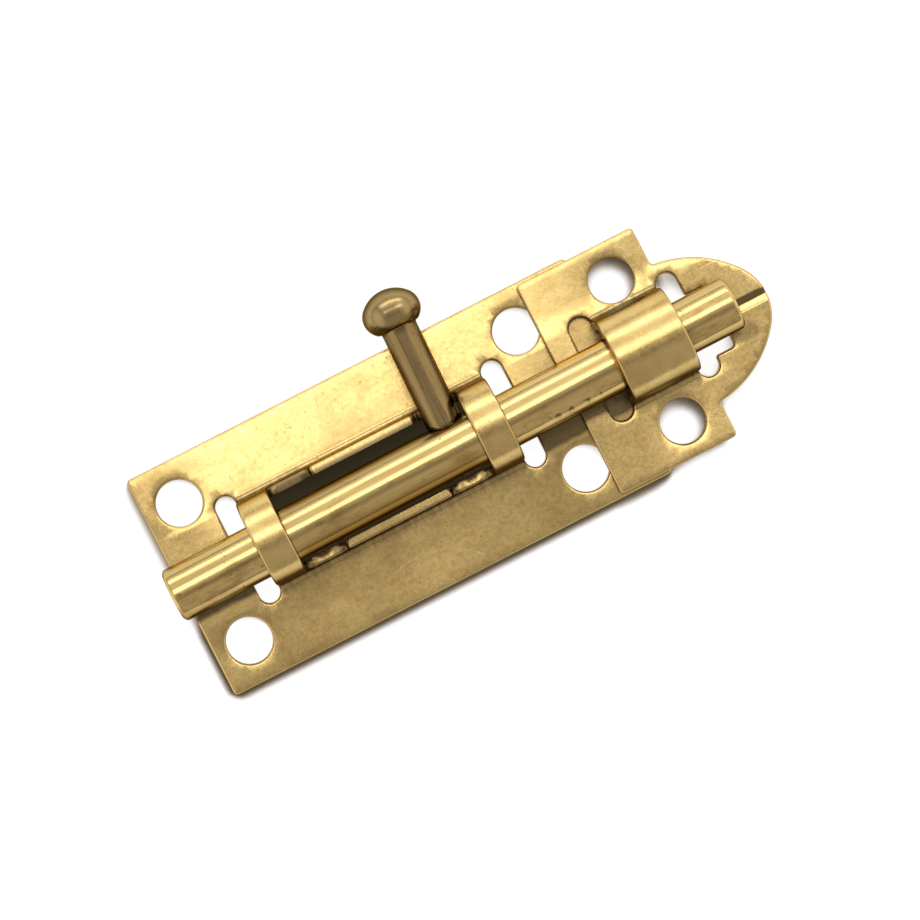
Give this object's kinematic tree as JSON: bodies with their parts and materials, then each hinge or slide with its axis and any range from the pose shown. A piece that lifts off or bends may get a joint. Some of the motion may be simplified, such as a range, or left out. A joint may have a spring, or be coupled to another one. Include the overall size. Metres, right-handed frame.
{
  "type": "barrel door bolt",
  "caption": "Small pressed-brass barrel bolt: a round rod with a ball knob slides through plate loops into a loop keeper with a half-moon nose.",
  "frame": {"origin": "centre of the base plate's four screw holes, on its back face", "axes": "+X along the rod, the way it is thrown into the keeper; +Y the side on which the knob lies; +Z out of the door, away from the mounting face"},
  "size_m": [0.0759, 0.0334, 0.0113],
  "materials": {
    "plate_brass": "bright pressed sheet, lightly drawn along the rod, a little uneven and handled",
    "rod_brass": "bright drawn bar with fine lengthwise lines and small dark specks",
    "knob_brass": "dull, darker aged brass, turned",
    "keeper_brass": "bright pressed sheet with a slightly grainy, matt bloom"
  },
  "bodies": {
    "plate": {"base_plate": "plate_brass"},
    "bolt": {"bolt_rod": "rod_brass"},
    "knob": {"knob_pin": "knob_brass"},
    "keeper": {"keeper": "keeper_brass"}
  },
  "joints": [
    {"name": "bolt_slide", "type": "slide", "parent": "plate", "child": "bolt", "axis": [1, 0, 0], "range_m": [-0.0187, 0]},
    {"name": "knob_turn", "type": "hinge", "parent": "bolt", "child": "knob", "pos_m": [0.00935, 0, 0.00553], "axis": [1, 0, 0], "range_deg": [-6.5, 186.5]},
    {"name": "keeper_slide", "type": "slide", "parent": "plate", "child": "keeper", "axis": [1, 0, 0], "range_m": [0, 0.025]}
  ]
}
